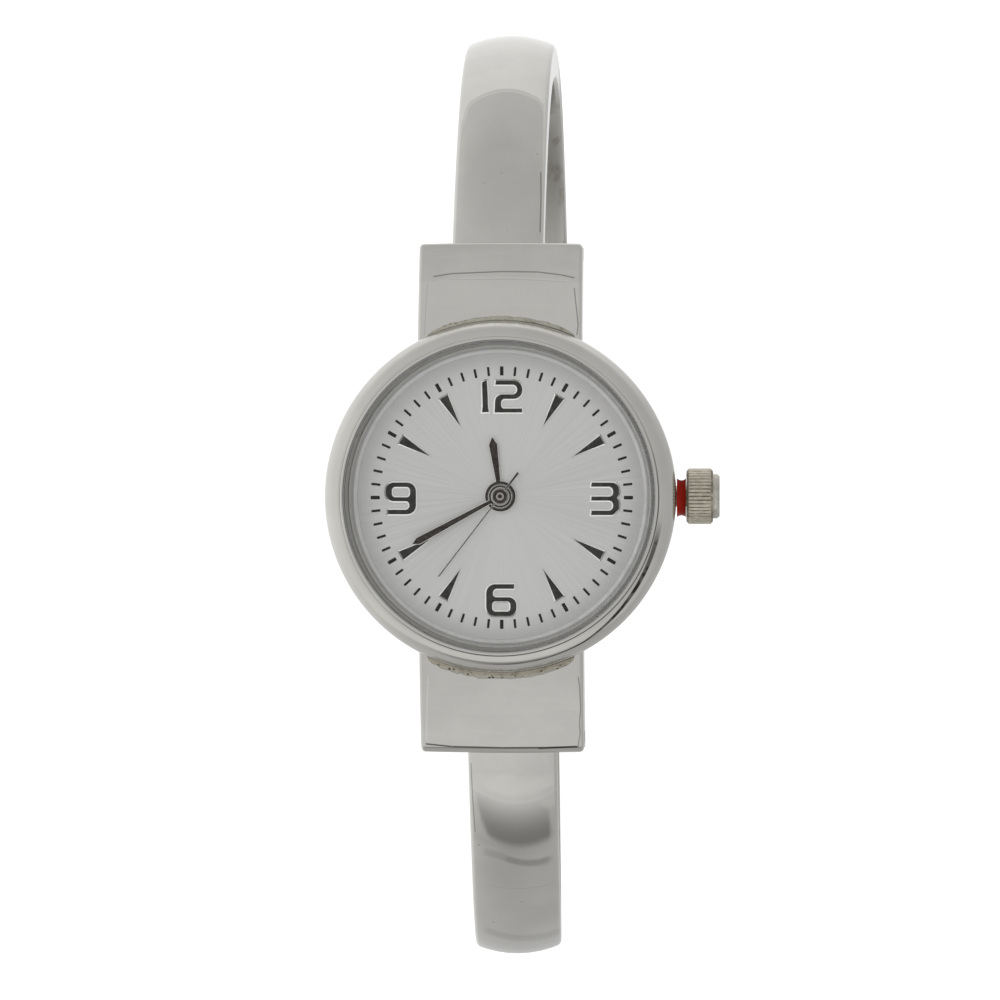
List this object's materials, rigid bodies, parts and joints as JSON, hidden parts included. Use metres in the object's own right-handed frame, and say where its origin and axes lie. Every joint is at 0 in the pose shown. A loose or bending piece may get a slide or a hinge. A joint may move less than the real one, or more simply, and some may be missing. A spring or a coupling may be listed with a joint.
{
  "type": "cuff watch",
  "caption": "Round quartz watch between two lug blocks on a polished oval cuff of two spring-hinged arms, with a numbered silver dial, three hands and a drawn crown held by a red clip.",
  "frame": {"origin": "centre of the case back's outer face, which touches the wrist", "axes": "+Z out through the dial, +Y to 12 o'clock and +X to the crown at 3 o'clock"},
  "size_m": [0.0281, 0.0698, 0.0547],
  "materials": {
    "steel": "polished",
    "steel_satin": "satin",
    "glass": "clear mineral glass",
    "rubber": "matt black",
    "dial_metal": "sunray silver",
    "ink": "printed black",
    "dark_metal": "dark nickel",
    "nickel": "worn nickel",
    "solder": "dull solder",
    "red_plastic": "moulded red",
    "brass": "plated brass",
    "white_plastic": "moulded",
    "copper": "lacquered wire",
    "green_board": "solder mask"
  },
  "bodies": {
    "case": {"case_body": "steel", "crystal_ring": "steel", "crystal_gasket": "rubber", "crystal": "glass", "dial_surround": "dial_metal", "case_back": "steel", "back_gasket": "rubber", "crown_tube": "steel", "upper_lug_block": "steel", "lower_lug_block": "steel", "upper_solder": "solder", "lower_solder": "solder", "upper_hinge_pin": "steel_satin", "lower_hinge_pin": "steel_satin", "upper_hinge_spring": "steel_satin", "lower_hinge_spring": "steel_satin", "dial": "dial_metal", "minute_track": "ink", "numeral_12": "dark_metal", "numeral_3": "dark_metal", "numeral_6": "dark_metal", "numeral_9": "dark_metal", "hour_markers": "dark_metal", "main_plate": "brass", "train_bridge": "steel_satin", "movement_ring": "white_plastic", "stator": "steel_satin", "coil_core": "steel_satin", "coil_winding": "copper", "circuit_board": "green_board", "circuit_chip": "ink", "quartz_crystal": "steel_satin", "battery": "steel_satin", "battery_clamp": "steel_satin", "movement_screws": "steel_satin"},
    "upper_arm": {"upper_arm": "steel"},
    "lower_arm": {"lower_arm": "steel"},
    "clip": {"spacer_clip": "red_plastic"},
    "clutch": {"clutch_wheel": "brass"},
    "crown": {"crown": "nickel", "crown_gasket": "rubber", "stem": "steel_satin"},
    "lever": {"setting_lever": "steel_satin"},
    "setting_wheel": {"setting_wheel": "brass"},
    "minute_wheel": {"minute_wheel": "brass"},
    "minutes": {"cannon_pinion": "brass", "minute_hand": "dark_metal"},
    "hours": {"hour_wheel": "brass", "hour_hand": "dark_metal"},
    "seconds": {"second_wheel": "brass", "second_hand": "dark_metal"},
    "third_wheel": {"third_wheel": "brass"},
    "centre_wheel": {"centre_wheel": "brass"},
    "fifth_wheel": {"fifth_wheel": "white_plastic"},
    "rotor": {"rotor": "steel_satin"}
  },
  "joints": [
    {"name": "upper_arm_hinge", "type": "hinge", "parent": "case", "child": "upper_arm", "pos_m": [0, 0.0174, -0.00122], "axis": [1, 0, 0], "range_deg": [0, 20], "stiffness_Nm_per_rad": 0.0105, "springref_deg": -42.97, "deforming": ["upper_hinge_spring"]},
    {"name": "lower_arm_hinge", "type": "hinge", "parent": "case", "child": "lower_arm", "pos_m": [0, -0.0174, -0.00122], "axis": [-1, 0, 0], "range_deg": [0, 20], "stiffness_Nm_per_rad": 0.0105, "springref_deg": -42.97, "deforming": ["lower_hinge_spring"]},
    {"name": "clip_pull", "type": "slide", "parent": "case", "child": "clip", "axis": [0, -1, 0], "range_m": [0, 0.028]},
    {"name": "crown_turn", "type": "hinge", "parent": "case", "child": "clutch", "pos_m": [0, 0, 0.0025], "axis": [1, 0, 0], "continuous": true},
    {"name": "crown_pull", "type": "slide", "parent": "clutch", "child": "crown", "axis": [-1, 0, 0], "range_m": [0, 0.00062]},
    {"name": "lever_swing", "type": "hinge", "parent": "case", "child": "lever", "pos_m": [0.007, 0.003, 0.0015], "axis": [0, 0, -1], "range_deg": [0, 11.8]},
    {"name": "setting_turn", "type": "hinge", "parent": "case", "child": "setting_wheel", "pos_m": [0.00338, 0, 0.00346], "axis": [0, 0, -1], "continuous": true},
    {"name": "minute_wheel_turn", "type": "hinge", "parent": "case", "child": "minute_wheel", "pos_m": [0.00132, -0.00229, 0.00346], "axis": [0, 0, -1], "continuous": true},
    {"name": "minute_turn", "type": "hinge", "parent": "case", "child": "minutes", "pos_m": [0, 0, 0.00512], "axis": [0, 0, -1], "continuous": true},
    {"name": "hour_turn", "type": "hinge", "parent": "case", "child": "hours", "pos_m": [0, 0, 0.00475], "axis": [0, 0, -1], "continuous": true},
    {"name": "second_turn", "type": "hinge", "parent": "case", "child": "seconds", "pos_m": [0, 0, 0.00547], "axis": [0, 0, -1], "continuous": true},
    {"name": "third_turn", "type": "hinge", "parent": "case", "child": "third_wheel", "pos_m": [-0.00288, 0.00105, 0.00202], "axis": [0, 0, -1], "continuous": true},
    {"name": "centre_turn", "type": "hinge", "parent": "case", "child": "centre_wheel", "pos_m": [0, 0, 0.00262], "axis": [0, 0, -1], "continuous": true},
    {"name": "fifth_turn", "type": "hinge", "parent": "case", "child": "fifth_wheel", "pos_m": [0.00202, 0.00241, 0.0023], "axis": [0, 0, -1], "continuous": true},
    {"name": "rotor_turn", "type": "hinge", "parent": "case", "child": "rotor", "pos_m": [0.00184, 0.00456, 0.00162], "axis": [0, 0, -1], "continuous": true}
  ],
  "couplings": [
    {"joint": "setting_turn", "follows": "crown_turn", "ratio": 0.95},
    {"joint": "minute_wheel_turn", "follows": "crown_turn", "ratio": -0.52778},
    {"joint": "minute_turn", "follows": "crown_turn", "ratio": 1.5833},
    {"joint": "hour_turn", "follows": "crown_turn", "ratio": 0.13194},
    {"joint": "third_turn", "follows": "second_turn", "ratio": -0.13333},
    {"joint": "centre_turn", "follows": "second_turn", "ratio": 0.016667},
    {"joint": "fifth_turn", "follows": "second_turn", "ratio": -6},
    {"joint": "rotor_turn", "follows": "second_turn", "ratio": 30},
    {"joint": "crown_pull", "follows": "clip_pull", "ratio": 0.022143},
    {"joint": "lever_swing", "follows": "clip_pull", "rad_per_m": 7.35}
  ]
}
